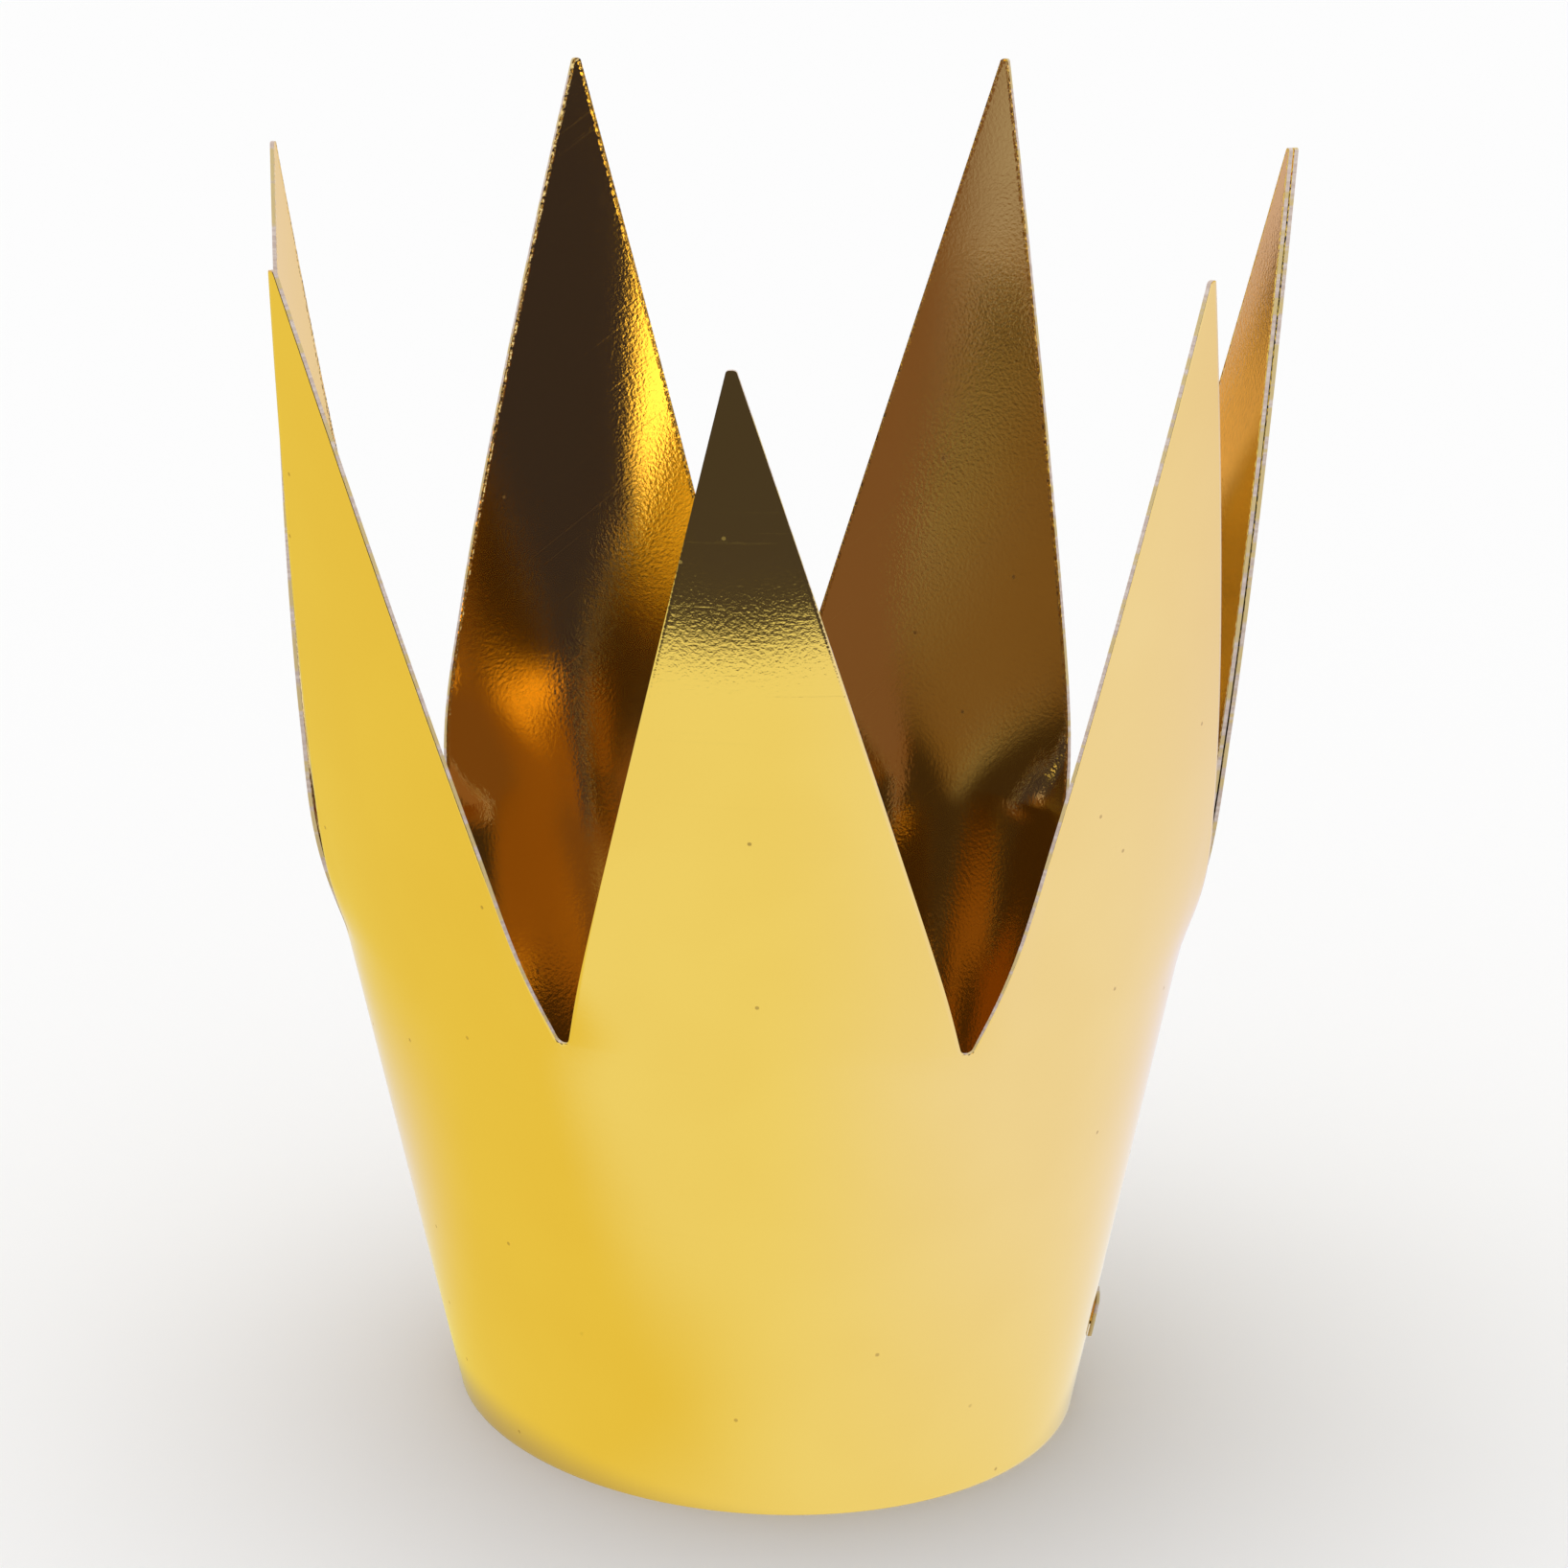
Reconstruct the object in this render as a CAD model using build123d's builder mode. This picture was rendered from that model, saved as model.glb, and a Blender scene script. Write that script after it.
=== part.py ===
"""A small party crown: one die-cut sheet of foil card, rolled into a flaring
ring of tall points and locked by a tongue that is folded through a slit."""

from build123d import *
from functools import cache
from math import ceil, cos, floor, radians, sin, sqrt, tan
import os

# The card, and the play between its two layers where the ends overlap.
card = 0.35
play = 0.15

# The rolled ring. It stands on its lower edge, at height 0, and point 0 faces -Y.
points = 7
base_radius = 29.0
flare = 12.06
band_height = 43.94
turn = -0.1

# The ring isn't quite round: an oval and a three-cornered part, as shares of
# the radius, each with the direction of its widest place.
oval = 0.0596
oval_direction = 22.0
corners = 0.0088
corner_direction = 30.7

# The points: their usual length along the card, how far each is pressed flat
# across, and the heights over which the card becomes flat and takes its lean.
point_length = 68.72
flatness = 0.538
flat_bend = 6.57
lean_bend = 20.4

# Each point by itself: its lean in from the flare and its sway to the right, as
# slopes, and what its length has more than the usual. Point 0 is at the front,
# 1 to 3 follow to the right, and -1 to -3 to the left.
lean = {-3: 0.159, -2: 0.153, -1: 0.025, 0: -0.151, 1: 0.091, 2: 0.036, 3: -0.054}
sway = {-3: -0.046, -2: -0.008, -1: -0.018, 0: -0.014, 1: -0.037, 2: -0.002, 3: 0.016}
longer = {-3: 1.5, -2: -0.3, -1: -1.7, 0: 0.6, 1: -2.5, 2: 0.2, 3: 2.3}

# The cut edge: the round at the bottom of each notch and at each tip, and how
# far the cut goes past a tip, above it.
notch_round = 0.5
tip_width = 0.9
tip_round = 0.4
past_tip = 3 * tip_width

# The closure, in the lap behind point 2: a tongue is cut out of the inner end,
# and folded out and back through a slit in the outer end.
tongue_height = 7.7
tongue_width = 3.6
tongue_length = 3.4
tongue_place = 1.67
tongue_round = 0.9
slit_play = 0.15

# The sheet runs round once and one point more, so its end points lie together.
layer = card + play
first_point = 2 - points
last_point = 2
sheet_start = first_point - 0.5
sheet_end = last_point + 0.5
samples = 8
blend_from = 0.7
apex_depth = base_radius / tan(radians(flare))


def slope_of(point):
    """Outward slope of a point's middle line, above its bend."""
    return tan(radians(flare)) - lean[point]


def tip_height(point):
    length = point_length + longer[point]
    return band_height + length / sqrt(1 + slope_of(point) ** 2)


def named(point):
    """The point's number in lean: both layers of the lap share theirs."""
    return (point + 3) % points - 3


def base_spot(azimuth):
    """A place on the middle of the card at the lower edge."""
    radius = base_radius * (
        1
        + oval * cos(2 * radians(azimuth - oval_direction))
        + corners * cos(3 * radians(azimuth - corner_direction))
    )
    return Vector(radius * sin(radians(azimuth)), -radius * cos(radians(azimuth)))


with BuildLine() as lower_edge:
    Spline([base_spot(turn + 10 * step) for step in range(36)], periodic=True)
ring = lower_edge.edge()


@cache
def around(u):
    """Place and direction on the lower edge, u points round from point 0."""
    length = (u / points) % 1 * ring.length
    spot = ring.position_at(length, position_mode=PositionMode.LENGTH)
    return spot, ring.tangent_at(length, position_mode=PositionMode.LENGTH)


def panel(point, u, height):
    """The card at u and a height, bent as the given point is."""
    spot = around(u)[0]
    middle, along = around(point)
    outward = Vector(along.Y, -along.X)
    growth = 1 + height / apex_depth
    rise = max(height - band_height, 0)
    settled = rise**2 / (rise**2 + flat_bend**2)
    bent = rise**2 / (rise + lean_bend)
    bulge = (spot - middle).dot(outward) * growth
    inward = bulge * flatness * settled + lean[named(point)] * bent
    return spot * growth - outward * inward + along * sway[named(point)] * bent


def wall(u, height):
    """Middle of the wall at u and a height, with no lap. Between two points
    the bends of both are blended, and the notches take most of that away."""
    point = floor(u + 0.5)
    aside = 2 * (u - point)
    left_by_notches = max(1 - (height - band_height) / point_length, 0.1)
    own_half = min(left_by_notches, blend_from)
    step = max((abs(aside) - own_half) / (1 - own_half), 0)
    share = 0.5 * step * step * (3 - 2 * step)
    own = panel(point, u, height)
    next_one = panel(point + (1 if aside > 0 else -1), u, height)
    return own * (1 - share) + next_one * share


def facing(u, height):
    """Outward direction of the wall, level with the ground."""
    run = wall(u + 0.02, height) - wall(u - 0.02, height)
    return Vector(run.Y, -run.X).normalized()


def run(u_from, u_to, height, aside):
    """Places along the wall, at a distance outward from the sheet's middle.

    The sheet winds outward by one layer in each turn, so its ends lie flat."""
    count = max(2, ceil((u_to - u_from) * samples))
    places = []
    for step in range(count + 1):
        u = u_from + (u_to - u_from) * step / count
        wound = layer * (u - (sheet_start + sheet_end) / 2) / points
        places.append(wall(u, height) + facing(u, height) * (wound + aside))
    return places


def strip(u_from, u_to, height, inner, outer):
    """Outline of a strip of card, from inner to outer of the sheet's middle."""
    inside = run(u_from, u_to, height, inner)
    outside = run(u_from, u_to, height, outer)
    with BuildLine(mode=Mode.PRIVATE) as outline:
        Spline(inside)
        Line(inside[-1], outside[-1])
        Spline(outside)
        Line(outside[0], inside[0])
    return outline.edges()


def bent_tongue(height):
    """Outline of the tongue: the web through the slit, and the flap beyond."""
    inside = run(flap_start, web_start, height, layer - card / 2)
    outside = run(flap_start, web_end, height, layer + card / 2)
    foot = run(web_start, web_end, height, -layer)
    with BuildLine(mode=Mode.PRIVATE) as outline:
        Spline(inside)
        Polyline(inside[-1], foot[0], foot[-1], outside[-1])
        Spline(outside)
        Line(outside[0], inside[0])
    return outline.edges()


def walls(heights, u_from, u_to, inner, outer):
    """A piece of the wall through some heights, as a solid."""
    with BuildPart() as piece:
        for height in heights:
            with BuildSketch(Plane.XY.offset(height)):
                make_face(strip(u_from, u_to, height, inner, outer))
        loft(ruled=True)
    return piece.part


def cut_tool(point_before):
    """The notch after a point: a V through both tips, with the tips' tops."""
    u = point_before + 0.5
    bottom = wall(u, band_height)
    outward = bottom.normalized()
    sideways = Vector(-outward.Y, outward.X)
    left, right = (named(point_before), named(point_before + 1))
    left_tip = wall(point_before, tip_height(left)).dot(sideways)
    right_tip = wall(point_before + 1, tip_height(right)).dot(sideways)
    left_top = tip_height(left)
    right_top = tip_height(right)
    with BuildPart() as tool:
        with BuildSketch(Plane((0, 0, 0), x_dir=sideways, z_dir=outward)):
            with BuildLine():
                FilletPolyline(
                    (left_tip - past_tip, clear_top),
                    (left_tip - past_tip, left_top),
                    (left_tip + tip_width / 2, left_top),
                    (0, band_height),
                    (right_tip - tip_width / 2, right_top),
                    (right_tip + past_tip, right_top),
                    (right_tip + past_tip, clear_top),
                    radius=[0.1, tip_round, notch_round, tip_round, 0.1],
                    close=False,
                )
                Line((left_tip - past_tip, clear_top), (right_tip + past_tip, clear_top))
            make_face()
        extrude(amount=2 * base_radius + point_length)
    return tool


sheet_top = max(tip_height(point) for point in lean) + 1
clear_top = sheet_top + 1
levels = [0, band_height * 0.45, band_height, sheet_top]
levels += [band_height + share * flat_bend for share in (0.5, 1, 2, 4, 8)]

# The tongue, in points round: the web goes through the slit, the flap lies on
# the outer end toward the front, and the window it left is on the other side.
per_point = ring.length / points * (1 + tongue_height / apex_depth)
web_start = tongue_place - card / 2 / per_point
web_end = tongue_place + card / 2 / per_point
flap_start = tongue_place - (tongue_length + card) / per_point
slit_start = web_start - slit_play / per_point
slit_end = web_end + slit_play / per_point
window_start = web_end - points
window_end = window_start + (tongue_length + 2 * layer) / per_point
slit_half = tongue_width / 2 + slit_play
slit_span = [tongue_height - slit_half, tongue_height + slit_half]

# The tongue's free corners are rounded by a block that trims it all round.
outward = facing(tongue_place, tongue_height)
behind = wall(tongue_place, tongue_height) - outward * 2 * layer
behind += Vector(0, 0, tongue_height)
with BuildPart() as tongue:
    for level in slit_span:
        with BuildSketch(Plane.XY.offset(level)):
            make_face(bent_tongue(level))
    loft(ruled=True)
    with BuildSketch(Plane(behind, x_dir=(-outward.Y, outward.X, 0), z_dir=outward)):
        RectangleRounded(2 * tongue_length, tongue_width, tongue_round)
    extrude(amount=5 * layer, mode=Mode.INTERSECT)

with BuildPart() as rolled:
    add(walls(sorted(levels), sheet_start, sheet_end, -card / 2, card / 2))
    for point_before in range(first_point, last_point):
        add(cut_tool(point_before).part, mode=Mode.SUBTRACT)
    slit = walls(slit_span, slit_start, slit_end, -layer / 2, layer)
    add(slit, mode=Mode.SUBTRACT)
    window = walls(slit_span, window_start, window_end, -layer, layer / 2)
    add(window, mode=Mode.SUBTRACT)
    add(tongue.part)

# The origin is on the ground, below the middle of the finished crown's box.
middle = rolled.part.bounding_box().center()
with BuildPart() as crown:
    with Locations((-middle.X, -middle.Y, 0)):
        add(rolled.part)

crown.part.label = "crown"
os.makedirs("parts", exist_ok=True)
export_step(crown.part, "parts/crown.step")
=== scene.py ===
# %% [markdown]
# A small party crown: one die-cut sheet of gold foil card, rolled into a flaring
# ring of tall points. The solid model already holds its size and place, so this
# scene starts from it and only adds what the eye sees.

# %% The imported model
from math import cos, pi, radians, sin, sqrt, tan

import bpy
import numpy as np
from mathutils import Matrix, Vector
from mathutils.kdtree import KDTree


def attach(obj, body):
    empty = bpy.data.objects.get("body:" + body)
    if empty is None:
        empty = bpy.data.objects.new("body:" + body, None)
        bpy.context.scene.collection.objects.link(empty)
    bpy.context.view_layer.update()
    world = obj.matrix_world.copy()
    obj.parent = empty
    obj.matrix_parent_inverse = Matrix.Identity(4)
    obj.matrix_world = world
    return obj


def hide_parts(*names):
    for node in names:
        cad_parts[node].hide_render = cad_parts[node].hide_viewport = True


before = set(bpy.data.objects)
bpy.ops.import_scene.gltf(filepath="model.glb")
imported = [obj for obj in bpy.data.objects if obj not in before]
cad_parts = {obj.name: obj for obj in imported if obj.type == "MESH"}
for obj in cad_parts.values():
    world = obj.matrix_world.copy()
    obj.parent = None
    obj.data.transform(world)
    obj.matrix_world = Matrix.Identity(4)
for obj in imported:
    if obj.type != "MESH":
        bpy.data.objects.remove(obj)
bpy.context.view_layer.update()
mm = 0.001

# %% [markdown]
# Foil mirrors whatever stands round it, so its surface has to be smoother than
# the facets of a solid model. The sheet is therefore built again from the same
# formula: a ring of card whose wall is known at every place along the sheet and
# every height. These are the sizes of that formula, in millimetres.

# %% Sizes of the sheet
card = 0.35
layer = card + 0.15
points = 7
base_radius = 29.0
flare = 12.06
band_height = 43.94
turn = -0.1
oval, oval_direction = 0.0596, 22.0
corners, corner_direction = 0.0088, 30.7
point_length = 68.72
flatness = 0.538
flat_bend, lean_bend = 6.57, 20.4
lean = {-3: 0.159, -2: 0.153, -1: 0.025, 0: -0.151, 1: 0.091, 2: 0.036, 3: -0.054}
sway = {-3: -0.046, -2: -0.008, -1: -0.018, 0: -0.014, 1: -0.037, 2: -0.002, 3: 0.016}
longer = {-3: 1.5, -2: -0.3, -1: -1.7, 0: 0.6, 1: -2.5, 2: 0.2, 3: 2.3}
first_point, last_point = 2 - points, 2
sheet_start, sheet_end = first_point - 0.5, last_point + 0.5
blend_from = 0.7
apex_depth = base_radius / tan(radians(flare))
print("sheet runs", sheet_end - sheet_start, "points round a ring of", points)

# %% [markdown]
# The lower edge is a circle that is a little oval and a little three-cornered.
# Card doesn't stretch, so the points are spaced evenly along that edge, by its
# length, and not by angle. A fine table turns length into a place.

# %% The lower edge
table_azimuth = np.radians(np.linspace(-400, 400, 6401))


def edge_spot(azimuth):
    """Places on the lower edge, at azimuths in radians from the front."""
    radius = base_radius * (
        1
        + oval * np.cos(2 * (azimuth - radians(oval_direction)))
        + corners * np.cos(3 * (azimuth - radians(corner_direction)))
    )
    return np.stack([radius * np.sin(azimuth), -radius * np.cos(azimuth)], axis=-1)


steps = np.linalg.norm(np.diff(edge_spot(table_azimuth), axis=0), axis=1)
table_length = np.concatenate([[0], np.cumsum(steps)])
table_length -= np.interp(radians(turn), table_azimuth, table_length)
ring_length = np.interp(radians(turn) + 2 * pi, table_azimuth, table_length)
print("lower edge", round(float(ring_length), 1), "mm round")


def around(u):
    """Place and direction on the lower edge, u points round from point 0."""
    azimuth = np.interp(u / points * ring_length, table_length, table_azimuth)
    run = edge_spot(azimuth + 0.001) - edge_spot(azimuth - 0.001)
    return edge_spot(azimuth), run / np.linalg.norm(run, axis=-1, keepdims=True)


# %% [markdown]
# Above the ring each point is pressed flatter than the ring and leans by its own
# amount, because people bend the points when they pick the crown up. Between two
# points the bends of both are blended, and the notches cut most of that away.

# %% The wall
lean_of = np.array([lean[name] for name in range(-3, 4)])
sway_of = np.array([sway[name] for name in range(-3, 4)])


def named(point):
    return (point + 3) % points - 3


def panel(point, u, height):
    """The card at u and a height, bent as the given point is."""
    spot = around(u)[0]
    middle, along = around(point.astype(float))
    outward = np.stack([along[..., 1], -along[..., 0]], axis=-1)
    growth = 1 + height / apex_depth
    rise = np.maximum(height - band_height, 0)
    settled = rise**2 / (rise**2 + flat_bend**2)
    bent = rise**2 / (rise + lean_bend)
    bulge = np.sum((spot - middle) * outward, axis=-1) * growth
    inward = bulge * flatness * settled + lean_of[named(point) + 3] * bent
    aside = sway_of[named(point) + 3] * bent
    return spot * growth[..., None] - outward * inward[..., None] + along * aside[..., None]


def wall(u, height):
    """Middle of the card, at any u and height."""
    u, height = np.broadcast_arrays(np.asarray(u, float), np.asarray(height, float))
    point = np.floor(u + 0.5).astype(int)
    aside = 2 * (u - point)
    own_half = np.minimum(np.maximum(1 - (height - band_height) / point_length, 0.1), blend_from)
    step = np.maximum((np.abs(aside) - own_half) / (1 - own_half), 0)
    share = (0.5 * step * step * (3 - 2 * step))[..., None]
    own = panel(point, u, height)
    neighbour = panel(point + np.where(aside > 0, 1, -1), u, height)
    return own * (1 - share) + neighbour * share


def facing(u, height):
    """Outward direction of the wall, level with the ground."""
    run = wall(u + 0.02, height) - wall(u - 0.02, height)
    outward = np.stack([run[..., 1], -run[..., 0]], axis=-1)
    return outward / np.linalg.norm(outward, axis=-1, keepdims=True)


def skin(u, height, aside):
    """Places on the sheet, at a distance outward from its middle. The sheet
    winds outward by one layer in each turn, so its two ends lie flat."""
    u, height = np.broadcast_arrays(np.asarray(u, float), np.asarray(height, float))
    wound = layer * (u - (sheet_start + sheet_end) / 2) / points
    level = wall(u, height) + facing(u, height) * (wound + aside)[..., None]
    return np.concatenate([level, height[..., None]], axis=-1)


print("front wall at the ring's top", np.round(wall(0, band_height), 2), "mm")

# %% [markdown]
# The notches are straight knife cuts with a small round at the bottom and small
# rounds at the tips. Each is a V seen square on, so a flank is found by asking
# where the wall crosses the V's line at each height.

# %% The notches
notch_round = 0.5
tip_half = 0.34
tip_round = 0.32
usual_lean_of_cut = radians(14.4)
notch_floor = band_height + notch_round * (1 / sin(usual_lean_of_cut) - 1)


def tip_height(point):
    slope = tan(radians(flare)) - lean[named(point)]
    return band_height + (point_length + longer[named(point)]) / sqrt(1 + slope**2)


def cut_line(height, tip_aside, tip_top):
    """Distance of a flank from its notch's middle, with the rounds."""
    angle = np.arctan2(tip_aside - tip_half, tip_top - band_height)
    straight = (height - band_height) * tan(angle)
    floor_round = (notch_floor - band_height) / (1 / sin(angle) - 1)
    centre = notch_floor + floor_round
    low = np.sqrt(np.maximum(floor_round**2 - np.minimum(centre - height, floor_round) ** 2, 0))
    line = np.where(height < centre - floor_round * sin(angle), low, straight)
    tangent = tip_round / tan((pi / 2 + angle) / 2)
    inset = tip_half - tangent
    fall = np.clip(height - (tip_top - tip_round), 0, tip_round)
    top = tip_aside - inset - np.sqrt(tip_round**2 - fall**2)
    return np.where(height > tip_top - tangent * cos(angle), top, line)


def flank(point, side, heights):
    """u of a point's flank at each height; side is -1 before it and 1 after."""
    notch = point + 0.5 * side
    bottom = wall(notch, band_height)
    out = bottom / np.linalg.norm(bottom)
    sideways = np.array([out[1], -out[0]]) * side
    top = tip_height(point)
    line = cut_line(heights, float(wall(point, top) @ sideways), top)
    share = np.linspace(-0.05, 1.15, 61)
    tries = point + 0.5 * side * (1 - share)
    asides = wall(tries[None, :], heights[:, None]) @ sideways
    found = [np.interp(goal, row, share) for goal, row in zip(line, asides)]
    return point + 0.5 * side * (1 - np.array(found))


print("notch bottoms at", round(notch_floor, 2), "mm, tips at",
      [round(tip_height(point), 1) for point in range(-3, 4)])

# %% [markdown]
# The closure: a tongue cut out of the inner end goes out through a slit in the
# outer end and is folded flat against it. The sheet's grid gets lines at the
# slit's and the window's borders, so both are true holes in the card.

# %% The closure's places
tongue_height, tongue_width, tongue_length = 7.7, 3.6, 3.4
tongue_place, tongue_round, slit_play = 1.67, 0.9, 0.15
per_point = ring_length / points * (1 + tongue_height / apex_depth)
web_half = card / 2 / per_point
slit = (tongue_place - web_half - slit_play / per_point, tongue_place + web_half + slit_play / per_point)
window_start = tongue_place + web_half - points
window = (window_start, window_start + (tongue_length + 2 * layer) / per_point)
slit_half = tongue_width / 2 + slit_play
hole_heights = (tongue_height - slit_half, tongue_height + slit_half)
print("slit at", [round(float(value), 3) for value in slit], "points round")

# %% [markdown]
# One grid covers the whole sheet: even rows up the ring, then rows for each point
# that narrow to its tip and crowd together where the cut is round. Front and back
# are the same grid on both sides of the card, and every open border is closed by
# a narrow band, which is the cut edge of the card.

# %% The sheet's grid
columns_per_point = 36
ring_rows = np.unique(np.concatenate([np.linspace(0, notch_floor, 25), hole_heights]))
point_rows = np.concatenate([
    np.linspace(0, 1, 9)[1:] ** 2 * 0.02,
    np.linspace(0.02, 0.988, 76)[1:],
    1 - np.linspace(1, 0, 7)[1:] ** 2 * 0.012,
])


def snapped(values, extra):
    """Values with each extra put in place of its nearest neighbour."""
    values = np.array(values)
    for value in extra:
        values[np.argmin(np.abs(values - value))] = value
    return values


sheet_columns = np.linspace(sheet_start, sheet_end, columns_per_point * (points + 1) + 1)
grid_u, grid_height, grid_faces = [], [], []
sheet_columns = snapped(sheet_columns, window)
sheet_columns = np.unique(np.concatenate([sheet_columns, slit]))


def add_row(us, heights):
    start = sum(len(row) for row in grid_u)
    grid_u.append(us)
    grid_height.append(np.broadcast_to(heights, us.shape))
    return np.arange(start, start + len(us))


def in_hole(u, height):
    inside = hole_heights[0] < height < hole_heights[1]
    return inside and (slit[0] < u < slit[1] or window[0] < u < window[1])


def add_faces(low, high, us, height):
    for place in range(len(low) - 1):
        if not in_hole((us[place] + us[place + 1]) / 2, height):
            grid_faces.append((low[place], low[place + 1], high[place + 1], high[place]))


row = add_row(sheet_columns, ring_rows[0])
for lower, height in zip(ring_rows[:-1], ring_rows[1:]):
    next_row = add_row(sheet_columns, height)
    add_faces(row, next_row, sheet_columns, (lower + height) / 2)
    row = next_row
for point in range(first_point, last_point + 1):
    mine = np.abs(sheet_columns - point) < 0.5 + 1e-6
    us = sheet_columns[mine]
    last = row[mine]
    heights = notch_floor + (tip_height(point) - notch_floor) * point_rows
    left, right = flank(point, -1, heights), flank(point, 1, heights)
    share = 2 * (us - point)
    for height, low_u, high_u in zip(heights, left, right):
        row_u = point + np.where(share < 0, (point - low_u) * share, (high_u - point) * share)
        next_row = add_row(row_u, height)
        add_faces(last, next_row, us, height)
        last = next_row
grid_u, grid_height = np.concatenate(grid_u), np.concatenate(grid_height)
print("grid of", len(grid_u), "places and", len(grid_faces), "faces")

# %% [markdown]
# A foil-faced card is never a perfect cone: a shallow ripple of a few hundredths
# of a millimetre is enough to make its reflections drift. The wall itself is built
# smooth; the foil's slow bump further down lets its reflections drift.

# %% The sheet
outer = skin(grid_u, grid_height, card / 2)
inner = skin(grid_u, grid_height, -card / 2)
middle = (outer.min(axis=0) + outer.max(axis=0)) / 2
middle[2] = 0
outer, inner = outer - middle, inner - middle
count = len(grid_u)
faces = [tuple(face) for face in grid_faces]
inside_faces = [tuple(place + count for place in reversed(face)) for face in faces]
sides = {}
for face in faces:
    for start, end in zip(face, face[1:] + face[:1]):
        sides[(start, end)] = True
borders = [(start, end) for start, end in sides if (end, start) not in sides]
edge_faces = [(end, start, start + count, end + count) for start, end in borders]
print("cut edge of", len(edge_faces), "faces")


def unrolled(u, height):
    """Places on the flat blank, in mm: a cone's wall unrolls into a fan."""
    slant = (apex_depth + height) / cos(radians(flare))
    angle = u / points * ring_length / apex_depth * cos(radians(flare))
    return np.stack([slant * np.sin(angle), slant * np.cos(angle)], axis=-1)


def build(name, places, faces, kinds, flat, from_cut, materials):
    """A mesh object in metres; flat is each place on the blank, in mm, and
    from_cut its distance there from the nearest cut."""
    mesh = bpy.data.meshes.new(name)
    mesh.from_pydata([tuple(place * mm) for place in places], [], faces)
    for material in materials:
        mesh.materials.append(material)
    mesh.polygons.foreach_set("material_index", kinds)
    mesh.polygons.foreach_set("use_smooth", [True] * len(faces))
    layer_of_uv = mesh.uv_layers.new(name="flat_sheet")
    loops = np.empty(len(mesh.loops), dtype=np.int32)
    mesh.loops.foreach_get("vertex_index", loops)
    layer_of_uv.uv.foreach_set("vector", flat[loops].astype(np.float32).ravel())
    mesh.attributes.new("from_cut", "FLOAT", "POINT").data.foreach_set("value", from_cut.astype(np.float32))
    mesh.update()
    made = bpy.data.objects.new(name, mesh)
    bpy.context.scene.collection.objects.link(made)
    return made


# %% [markdown]
# Shader sums read best as plain Python, so a small class wraps a socket and turns
# each operator into a Math node. Every other node comes from its node method.

# %% A wrapper for sockets
class Wire:
    """An output of a node tree that Python's operators can work on."""

    def __init__(self, tree, socket=None):
        self.tree = tree
        self.socket = socket

    def node(self, kind, settings=(), values=(), out=0):
        made = self.tree.nodes.new(kind)
        for name, setting in dict(settings).items():
            if name == "stops":
                ramp = made.color_ramp
                while len(ramp.elements) < len(setting):
                    ramp.elements.new(0.5)
                for element, (place, colour) in zip(ramp.elements, setting):
                    element.position = place
                    element.color = colour
            else:
                setattr(made, name, setting)
        for name, value in dict(values).items():
            if isinstance(value, Wire):
                self.tree.links.new(value.socket, made.inputs[name])
            else:
                made.inputs[name].default_value = value
        return Wire(self.tree, made.outputs[out] if made.outputs else None)

    def maths(self, operation, *others):
        values = dict(enumerate((self,) + others))
        return self.node("ShaderNodeMath", {"operation": operation}, values)

    def __add__(self, other):
        return self.maths("ADD", other)

    def __sub__(self, other):
        return self.maths("SUBTRACT", other)

    def __rsub__(self, other):
        return self * -1 + other

    def __mul__(self, other):
        return self.maths("MULTIPLY", other)

    def __truediv__(self, other):
        return self.maths("DIVIDE", other)

    __radd__ = __add__
    __rmul__ = __mul__


def new_material(name):
    material = bpy.data.materials.new(name)
    material.use_nodes = True
    material.node_tree.nodes.clear()
    return material, Wire(material.node_tree)


def finished(start, shader):
    start.node("ShaderNodeOutputMaterial", values={"Surface": shader})


# %% Helpers for colours and borders
def part_of(start, vector, axis):
    return start.node("ShaderNodeSeparateXYZ", values={"Vector": vector}, out=axis)


def blend(start, share, first, second):
    """A colour between two, through a Mix node."""
    return start.node("ShaderNodeMix", {"data_type": "RGBA"},
                      {0: share, 6: first, 7: second}, out=2)


def ramp(start, share, stops):
    return start.node("ShaderNodeValToRGB", {"stops": stops}, {"Fac": share})


def between(start, value, low, high):
    """0 below low, 1 above high, and smooth between them; high may be the lower."""
    return start.node("ShaderNodeMapRange", {"interpolation_type": "SMOOTHSTEP"},
                      {"Value": value, "From Min": low, "From Max": high})


# %% [markdown]
# The foil is a thin layer of gold-lacquered metal on card. Metal has no colour of
# its own beside its reflection, so it is fully metallic and quite smooth. Card
# fibres press through it as a fine orange peel, which shows where a bright and a
# dark reflection meet; a slow unevenness lets the reflections drift. Both are
# bumps of a few thousandths of a millimetre, made from noise on the flat sheet.

# %% Relief of the foil
foil, start = new_material("gold_foil")
flat_place = start.node("ShaderNodeUVMap", {"uv_map": "flat_sheet"})


def sheet_noise(start, place, per_mm, detail):
    return start.node("ShaderNodeTexNoise", {"noise_dimensions": "2D"},
                      {"Vector": place, "Scale": per_mm, "Detail": detail, "Roughness": 0.55})


peel = sheet_noise(start, flat_place, 2.8, 2.0)
slow = sheet_noise(start, flat_place, 0.12, 1.0)

# %% [markdown]
# Handling leaves hairline scratches. Noise that is stretched a hundred times in one
# direction turns into long thin lines, and a high threshold keeps only a few. The
# cutting die also pushes the foil over at the card's edge: within a third of a
# millimetre of every cut the outside rolls down and the inside stands up, which is
# a bright or dark line in the mirror. The mesh knows each place's distance from
# the nearest cut, and gives it a minus sign on the inside.

# %% Scratches and rolled edge


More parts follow.
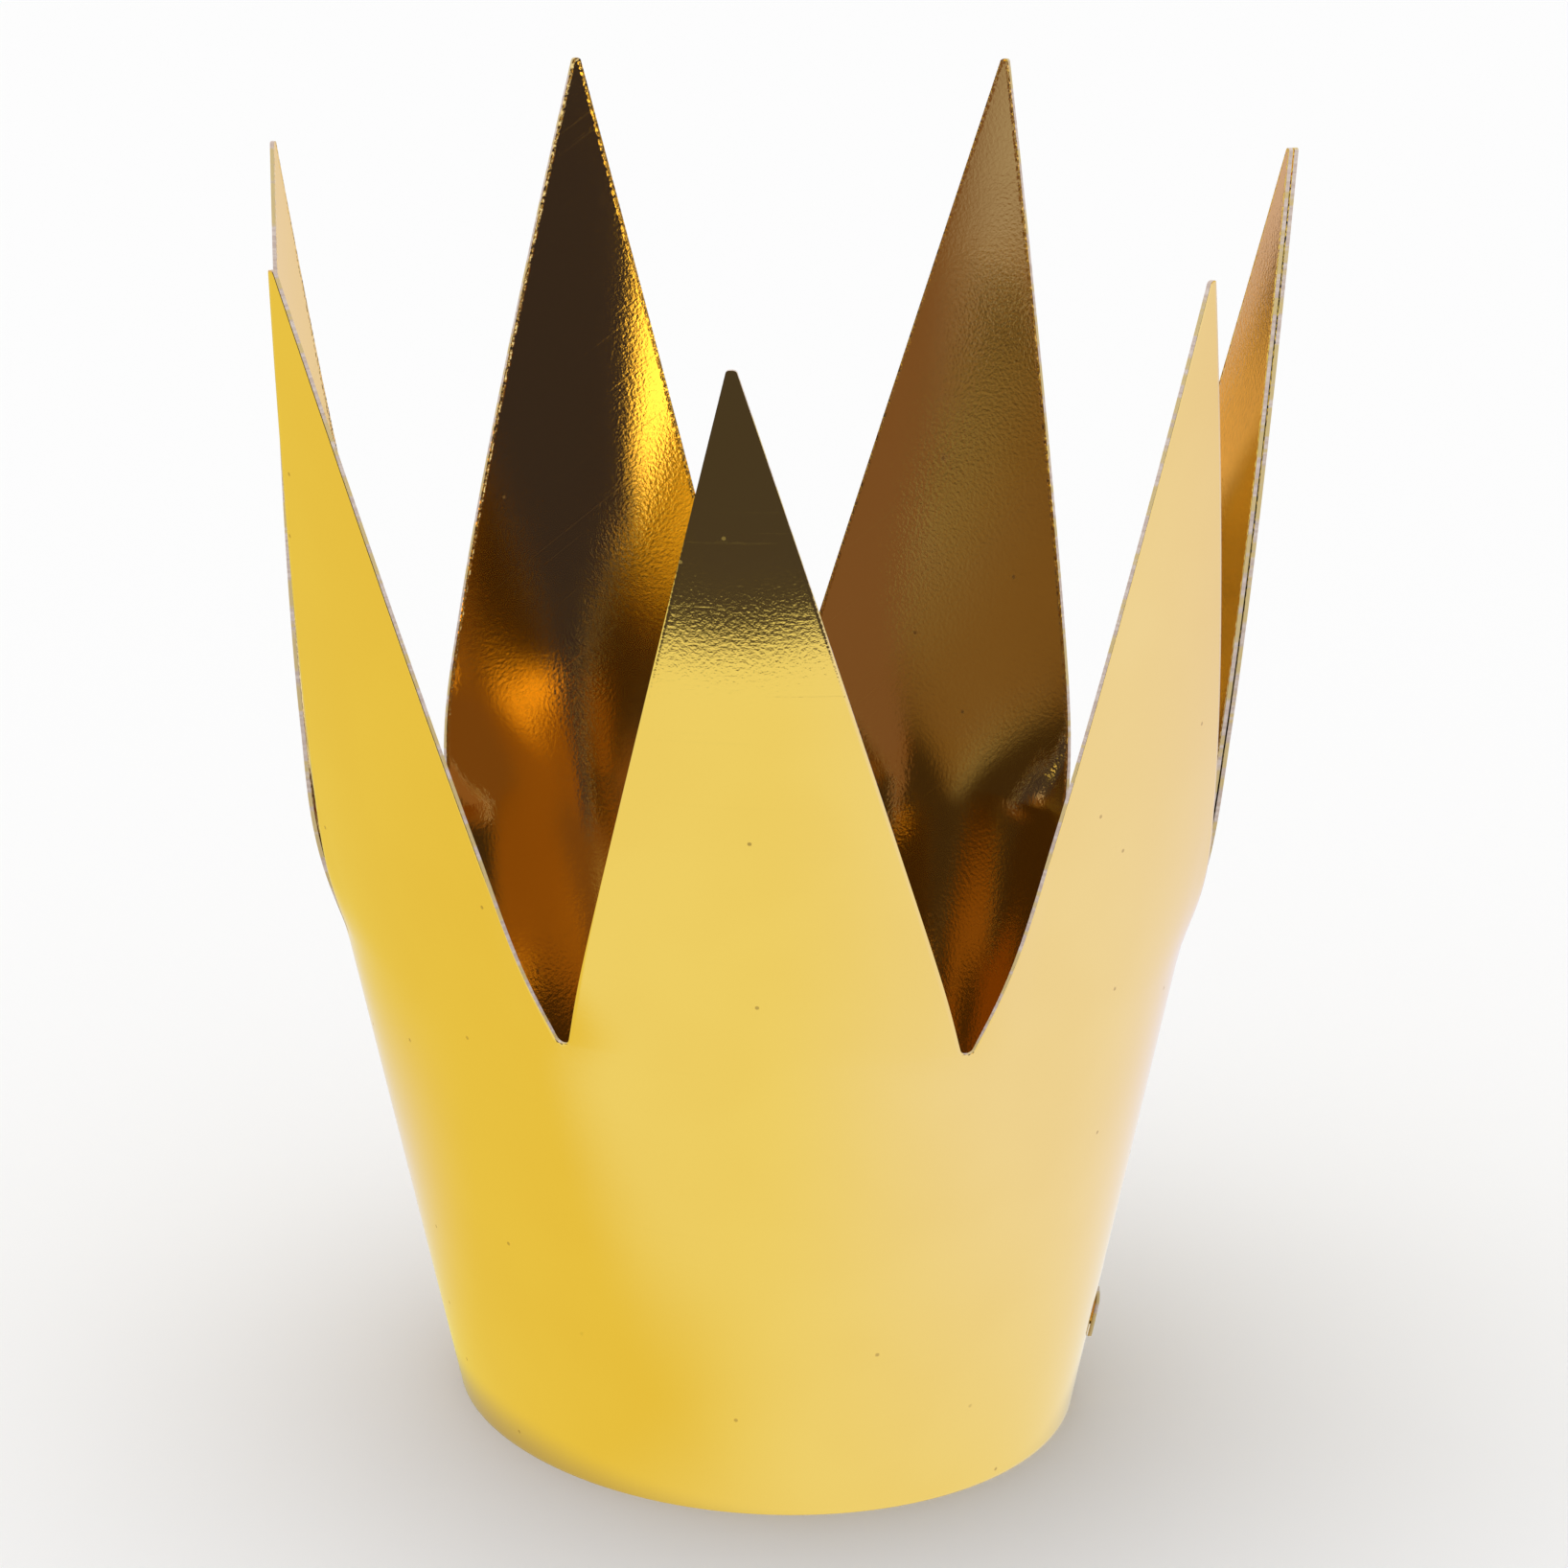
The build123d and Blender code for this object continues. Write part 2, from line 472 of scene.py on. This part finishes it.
def hairlines(start, place, direction, threshold):
    turned = start.node("ShaderNodeMapping", values={
        "Vector": place, "Rotation": (0, 0, radians(direction)), "Scale": (0.03, 2.6, 1)})
    lines = start.node("ShaderNodeTexNoise", {"noise_dimensions": "2D"},
                       {"Vector": turned, "Scale": 1.0, "Detail": 1.0})
    return between(start, lines, threshold, threshold + 0.03)


scratches = hairlines(start, flat_place, 31, 0.765) + hairlines(start, flat_place, -48, 0.775)
from_cut = start.node("ShaderNodeAttribute", {"attribute_name": "from_cut"}, out=2)
down = start.node("ShaderNodeMapRange", values={"Value": from_cut, "From Min": 0.32, "From Max": 0.0})
down = down * from_cut.maths("GREATER_THAN", 0.0)
raised = start.node("ShaderNodeMapRange", values={"Value": from_cut, "From Min": -0.48, "From Max": -0.01})
raised = raised * from_cut.maths("LESS_THAN", 0.0) * between(start, peel, 0.36, 0.6)
relief = peel * 0.0058 + slow * 0.008 - scratches * 0.0004 - down * down * 0.08 + raised * raised * 0.09
bump = start.node("ShaderNodeBump", values={"Strength": 1.0, "Distance": 0.001, "Height": relief})
print("foil relief from", len(foil.node_tree.nodes), "nodes")

# %% [markdown]
# The gold itself is nearly even. Its lacquer is a touch deeper in some places, and
# a few specks of dust sit on it: one small dot in some cells of a wide pattern.

# %% Gold foil
deeper = sheet_noise(start, flat_place, 0.06, 2.0)
gold = blend(start, between(start, deeper, 0.3, 0.7), (0.935, 0.708, 0.246, 1), (0.925, 0.692, 0.234, 1))
cell = {"Vector": flat_place, "Scale": 0.085}
from_speck = start.node("ShaderNodeTexVoronoi", {"voronoi_dimensions": "2D"}, cell)
which_cell = start.node("ShaderNodeTexVoronoi", {"voronoi_dimensions": "2D"}, cell, out=1)
speck = between(start, from_speck, 0.020, 0.010) * between(start, part_of(start, which_cell, 0), 0.55, 0.6)
gold = blend(start, speck * 0.5, gold, (0.40, 0.26, 0.10, 1))
matter = deeper * 0.03 + scratches * 0.05 + speck * 0.3 + 0.045
surface = start.node("ShaderNodeBsdfPrincipled", values={
    "Base Color": gold, "Metallic": 1.0, "Roughness": matter, "Normal": bump})
finished(start, surface)

# %% [markdown]
# Where the die cut through, the pale core of the card shows, in fine fibres. The
# die drags some foil over it, so that the edge is golden in places.

# %% Pale core of the card
core, start = new_material("pale_core")
flat_place = start.node("ShaderNodeUVMap", {"uv_map": "flat_sheet"})
fibres = sheet_noise(start, flat_place, 2.5, 4.0)
dragged = between(start, sheet_noise(start, flat_place, 0.4, 3.0), 0.48, 0.56)
card_colour = blend(start, between(start, fibres, 0.3, 0.7), (0.78, 0.67, 0.60, 1), (0.62, 0.49, 0.42, 1))
surface = start.node("ShaderNodeBsdfPrincipled", values={
    "Base Color": blend(start, dragged, card_colour, (0.72, 0.56, 0.26, 1)), "Roughness": 0.6})
finished(start, surface)

# %% [markdown]
# The tongue is a strip as thick as the card. Seen from above its outline goes
# along the flap, round the fold, in through the slit and back, so it is drawn once
# for each height and the rows are joined. Its free corners are rounded: rows near
# the top and the bottom start a little later.

# %% The tongue
fold_round = 0.3


def tongue_row(height):
    """The tongue's outline at a height: flap's inside, web, fold, outside. With
    it comes each place's distance from the cut, which only the outside shows."""
    from_side = tongue_width / 2 - abs(height - tongue_height)
    into_round = max(tongue_round - from_side, 0)
    late = tongue_round - sqrt(max(tongue_round**2 - into_round**2, 0))
    free_end = tongue_place + (late - tongue_length - card) / per_point
    web = (tongue_place - web_half, tongue_place + web_half)
    along_flap = np.linspace(free_end, web[0], 9)
    turn_back = radians(90) * np.linspace(0, 1, 5)
    fold_u = web[1] - fold_round * (1 - np.cos(turn_back)) / per_point
    fold_aside = layer + card / 2 - fold_round * (1 - np.sin(turn_back))
    back_flap = np.linspace(fold_u[-1], free_end, 9)[1:]
    us = np.concatenate([along_flap, web, fold_u, back_flap])
    asides = np.concatenate([[layer - card / 2] * 9, [-layer] * 2, fold_aside, [layer + card / 2] * 8])
    from_end = np.where(asides < layer, 1.0, (us - free_end) * per_point)
    return us, asides, np.minimum(from_end, from_side)


tongue_heights = tongue_height + tongue_width / 2 * np.sin(np.radians(np.linspace(-90, 90, 17)))
tongue_rows = [tongue_row(height) for height in tongue_heights]
row_size = len(tongue_rows[0][0])
row_heights = np.repeat(tongue_heights, row_size)
tongue_us, tongue_asides, tongue_from_cut = np.concatenate(tongue_rows, axis=1)
tongue_places = skin(tongue_us, row_heights, tongue_asides)
tongue_flat = unrolled(tongue_us, row_heights)


def tongue_sides(start):
    """Faces of the tongue, and 0 for foil or 1 for the pale core at its ends."""
    made, kinds = [], []
    for row in range(len(tongue_rows) - 1):
        for place in range(row_size):
            low = start + row * row_size
            here, beside = place, (place + 1) % row_size
            made.append((low + here, low + row_size + here, low + row_size + beside, low + beside))
            kinds.append(1 if place in (9, row_size - 1) else 0)
    last = start + (len(tongue_rows) - 1) * row_size
    made.append(tuple(range(start, start + row_size)))
    made.append(tuple(reversed(range(last, last + row_size))))
    return made, kinds + [1, 1]


print("tongue of", len(tongue_places), "places")

# %% The crown as one sheet
# The cut edge gets places of its own, so that its corners stay crisp.
edge_ring = sorted({place for border in borders for place in border})
edge_index = {place: 2 * count + 2 * order for order, place in enumerate(edge_ring)}
edge_places = np.stack([outer[edge_ring], inner[edge_ring]], axis=1).reshape(-1, 3)
edge_faces = [
    (edge_index[end], edge_index[start], edge_index[start] + 1, edge_index[end] + 1)
    for start, end in borders
]
places = np.concatenate([outer, inner, edge_places])
flat = unrolled(grid_u, grid_height)
cuts = KDTree(8 * len(borders))
for order, (start_place, end_place) in enumerate(borders):
    for step in range(8):
        along_cut = flat[start_place] + (flat[end_place] - flat[start_place]) * step / 8
        cuts.insert((*along_cut, 0), 8 * order + step)
cuts.balance()
from_cut = np.array([cuts.find((*place, 0))[2] for place in flat])
print("blank is a fan of", round(float(np.ptp(flat[:, 0]))), "by", round(float(np.ptp(flat[:, 1]))), "mm")
flat = np.concatenate([flat, flat, np.repeat(flat[edge_ring], 2, axis=0)])
all_faces = faces + inside_faces + edge_faces
kinds = [0] * (2 * len(faces)) + [1] * len(edge_faces)

tongue_faces, tongue_kinds = tongue_sides(len(places))
places = np.concatenate([places, tongue_places - middle])
flat = np.concatenate([flat, tongue_flat])
from_cut = np.concatenate([from_cut + 0.001, -0.01 - from_cut, np.ones(len(edge_places)), tongue_from_cut + 0.001])
all_faces += tongue_faces
kinds += tongue_kinds
sheet = build("foil_card_sheet", places, all_faces, kinds, flat, from_cut, [foil, core])
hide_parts("crown")
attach(sheet, "root")
print("sheet of", len(places), "places,", len(all_faces), "faces")

# %% [markdown]
# The camera stands where the photographer's did: a little to the front and above,
# with a longish lens. These numbers came from matching the tips, the notches and
# the outline, in base radii of the ring.

# %% Camera
camera_height = radians(18.0)
camera_roll = radians(-0.447)
camera_distance, camera_aside, camera_up = 16.06786, -0.0574729, -1.858753
lens_in_frame_widths = 5259.34 / 1636
forward = Vector((0, cos(camera_height), -sin(camera_height)))
upright = Vector((0, sin(camera_height), cos(camera_height)))
level = Vector((1, 0, 0))
right = level * cos(camera_roll) + upright * sin(camera_roll)
up = upright * cos(camera_roll) - level * sin(camera_roll)
eye = (right * -camera_aside - up * camera_up - forward * camera_distance) * base_radius
eye -= Vector(middle)
camera = bpy.data.objects.new("camera", bpy.data.cameras.new("camera"))
camera.data.sensor_width = 36
camera.data.lens = 36 * lens_in_frame_widths
camera.data.clip_start = 0.01
turned = Matrix((right, up, -forward)).transposed().to_4x4()
camera.matrix_world = Matrix.Translation(eye * mm) @ turned
bpy.context.scene.collection.objects.link(camera)
bpy.context.scene.camera = camera
print("camera at", [round(value) for value in eye], "mm")

# %% [markdown]
# The crown stands on a pale sheet of paper that runs on behind it, so the floor is
# one wide plane. Foil mirrors that sheet: the flaring ring looks down at it, and
# what we call the crown's colour is gold times paper. In the studio the light on
# the paper is warm on the left and cool on the right, and the paper ends a hand's
# breadth in front of the crown. Light Path's Is Glossy Ray gives the mirrored
# paper that colour and that end, while the camera sees it plain.

# %% Floor
floor_mesh = bpy.data.meshes.new("floor")
half = 3.0
corners_of_floor = [(-half, -half, 0), (half, -half, 0), (half, half, 0), (-half, half, 0)]
floor_mesh.from_pydata(corners_of_floor, [], [(0, 1, 2, 3)])
floor = bpy.data.objects.new("floor", floor_mesh)
bpy.context.scene.collection.objects.link(floor)
floor_paint, start = new_material("floor_paint")
place = start.node("ShaderNodeNewGeometry")
mirrored = start.node("ShaderNodeLightPath", out="Is Glossy Ray")


side = part_of(start, place, 0)
ahead = part_of(start, place, 1)
pale_front, cool_right, soft_back = (0.915, 0.871, 0.50, 1), (0.923, 0.91, 1.09, 1), (0.874, 0.806, 0.876, 1)
warm_left = (0.861, 0.739, 0.196, 1)
right_side = blend(start, between(start, ahead, 0.0, 0.17), cool_right, soft_back)
lit_paper = blend(start, between(start, side, -0.019, 0.07), pale_front, right_side)
left_of_ring = between(start, side, 0.003, -0.023) * between(start, ahead, -0.052, -0.029)
lit_paper = blend(start, left_of_ring, lit_paper, warm_left)
behind_left = between(start, side, -0.10, -0.045) * between(start, ahead, 0.0, 0.05)
lit_paper = blend(start, behind_left * between(start, side, 0.0, -0.03), lit_paper, (0.86, 0.80, 0.72, 1))
far_left = between(start, side, -0.2, -0.4) * between(start, ahead, 0.3, 0.6)
lit_paper = blend(start, far_left, lit_paper, (0.66, 0.50, 0.6, 1))
print("mirrored paper from", len(floor_paint.node_tree.nodes), "nodes")

# %% [markdown]
# Beyond the paper's end the mirror shows a dark room. One lit window stands there,
# ahead and a little to the right: it is the yellow streak in the left one of the
# two back points. On the floor it is a band between two directions from the crown.

# %% Floor seen in the foil
window_light = (2.3, 1.5, 0.34, 1)


def toward_window(start, side, ahead, left, right):
    """1 in the directions between two sides of a window, from the crown."""
    direction = side / (ahead * -1)
    seen = between(start, direction, left, left + 0.06) * between(start, direction, right, right - 0.05)
    return seen * between(start, ahead, 0, -0.05)


dark_room = blend(start, between(start, side, 0.02, 0.3), (0.068, 0.056, 0.058, 1), (0.038, 0.028, 0.04, 1))
window_share = toward_window(start, side, ahead, 0.36, 0.89) * between(start, ahead, -0.35, -0.5)
far_floor = blend(start, window_share, dark_room, window_light)
past_end = between(start, ahead + side * 0.187, -0.1106, -0.1072)
mirrored_floor = blend(start, past_end, far_floor, lit_paper)
# Painted shade: inside the ring the paper lies in the crown's shade, so its mirrored image is painted darker there.
from_middle = (ahead - 0.0055).maths("POWER", 2.0) + (side + 0.0023).maths("POWER", 2.0)
painted_shade_in_ring = between(start, from_middle.maths("SQRT"), 0.0315, 0.0265)
mirrored_floor = blend(start, painted_shade_in_ring, mirrored_floor, (0.46, 0.41, 0.32, 1))
paper = start.node("ShaderNodeBsdfDiffuse", values={"Color": (0.9, 0.9, 0.9, 1)})
seen_in_foil = start.node("ShaderNodeEmission", values={"Color": mirrored_floor})
finished(start, start.node("ShaderNodeMixShader", values={0: mirrored, 1: paper, 2: seen_in_foil}))
floor_mesh.materials.append(floor_paint)

# %% [markdown]
# Light: a plain even studio light from all round, which the world gives, and a wide
# soft lamp above that draws the shadow close to the foot. The foil also mirrors the
# room. Behind the crown that is a low lit wall, then brown and dark bands with a lit
# strip high up; in front it is dim, but for the window.

# %% The mirrored room
world = bpy.data.worlds.new("studio")
bpy.context.scene.world = world
world.use_nodes = True
world.node_tree.nodes.clear()
start = Wire(world.node_tree)
toward = start.node("ShaderNodeTexCoord", out="Generated")
mirrored = start.node("ShaderNodeLightPath", out="Is Glossy Ray")
side, ahead, upward = [part_of(start, toward, axis) for axis in range(3)]
dark, brown, pale_brown = (0.05, 0.036, 0.045, 1), (0.20, 0.10, 0.06, 1), (0.40, 0.34, 0.38, 1)
low_wall, glow, lit_strip = (0.85, 0.65, 0.60, 1), (1.3, 1.05, 0.4, 1), (1.5, 1.1, 0.6, 1)
bands = [(0.14, dark), (0.34, dark), (0.40, brown), (0.50, brown), (0.54, dark)]
back_left = ramp(start, upward, [(0.125, low_wall)] + bands + [
    (0.70, dark), (0.72, (0.30, 0.18, 0.13, 1))])
back_right = ramp(start, upward, [(0.125, (0.80, 0.66, 0.35, 1))] + bands + [
    (0.64, dark), (0.68, (0.30, 0.18, 0.14, 1)), (0.725, (0.26, 0.15, 0.12, 1)), (0.75, dark)])
sideways = side / ahead
strip = between(start, upward, 0.702, 0.712) * between(start, upward, 0.742, 0.728) * between(start, sideways, -0.64, -0.72)
back_left = blend(start, strip, back_left, lit_strip)
back_room = blend(start, between(start, side, -0.35, 0.0), back_left, back_right)
skylight = between(start, sideways, 0.05, 0.12) * between(start, sideways, 0.8, 0.65) * between(start, upward, 0.51, 0.49)
back_room = blend(start, skylight, back_room, (1.15, 1.15, 0.9, 1))
paler_left = between(start, side, -0.80, -0.88) * between(start, upward, 0.20, 0.25) * between(start, ahead, -0.26, -0.34)
left_front = blend(start, paler_left, brown, pale_brown)
left_front = blend(start, between(start, ahead, -0.20, -0.10), left_front, dark)
right_front = blend(start, between(start, side, 0.63, 0.71), (0.31, 0.32, 0.62, 1), (0.21, 0.15, 0.17, 1))
right_front = blend(start, between(start, upward, 0.30, 0.33), right_front, dark)
low_front = blend(start, between(start, side, 0.22, 0.08) * between(start, upward, 0.35, 0.40), dark, brown)
right_front = blend(start, between(start, side, 0.50, 0.58) * between(start, upward, 0.12, 0.20), low_front, right_front)
right_front = blend(start, between(start, side, 0.88, 0.96), right_front, (0.26, 0.11, 0.04, 1))
front_room = blend(start, between(start, side, -0.5, -0.3), left_front, right_front)
low_window = toward_window(start, side, ahead, 0.36, 0.89) * between(start, upward, 0.13, 0.10)
high_window = toward_window(start, side, ahead, 0.25, 0.46) * between(start, upward, 0.218, 0.244) * between(start, upward, 0.29, 0.27)
front_room = blend(start, high_window, front_room, (0.72, 0.80, 1.5, 1))
front_room = blend(start, low_window, front_room, window_light)
room = blend(start, between(start, ahead, 0.035, 0.055), front_room, back_room)
glow_strip = between(start, ahead, -0.01, 0.01) * between(start, ahead, 0.05, 0.035) * between(start, side, 0.0, -0.3)
glow_strip = glow_strip * between(start, upward, 0.184, 0.194) * between(start, upward, 0.214, 0.204)
room = blend(start, glow_strip, room, glow)
print("mirrored room from", len(world.node_tree.nodes), "nodes")

# %% Light
room_light = start.node("ShaderNodeBackground", values={"Color": room, "Strength": 1.0})
even_light = start.node("ShaderNodeBackground", values={"Color": (1, 1, 1, 1), "Strength": 0.8})
seen = start.node("ShaderNodeLightPath", out="Is Camera Ray")
white = start.node("ShaderNodeBackground", values={"Color": (1, 1, 1, 1), "Strength": 1.0})
lit = start.node("ShaderNodeMixShader", values={0: mirrored, 1: even_light, 2: room_light})
start.node("ShaderNodeOutputWorld", values={"Surface": start.node("ShaderNodeMixShader", values={0: seen, 1: lit, 2: white})})
overhead = bpy.data.objects.new("overhead", bpy.data.lights.new("overhead", "SUN"))
overhead.data.angle = radians(70)
overhead.data.energy = 0.3 * pi
overhead.rotation_euler = (radians(-12), radians(-8), 0)
overhead.visible_glossy = False
bpy.context.scene.collection.objects.link(overhead)

bpy.context.scene.view_settings.view_transform = "Standard"
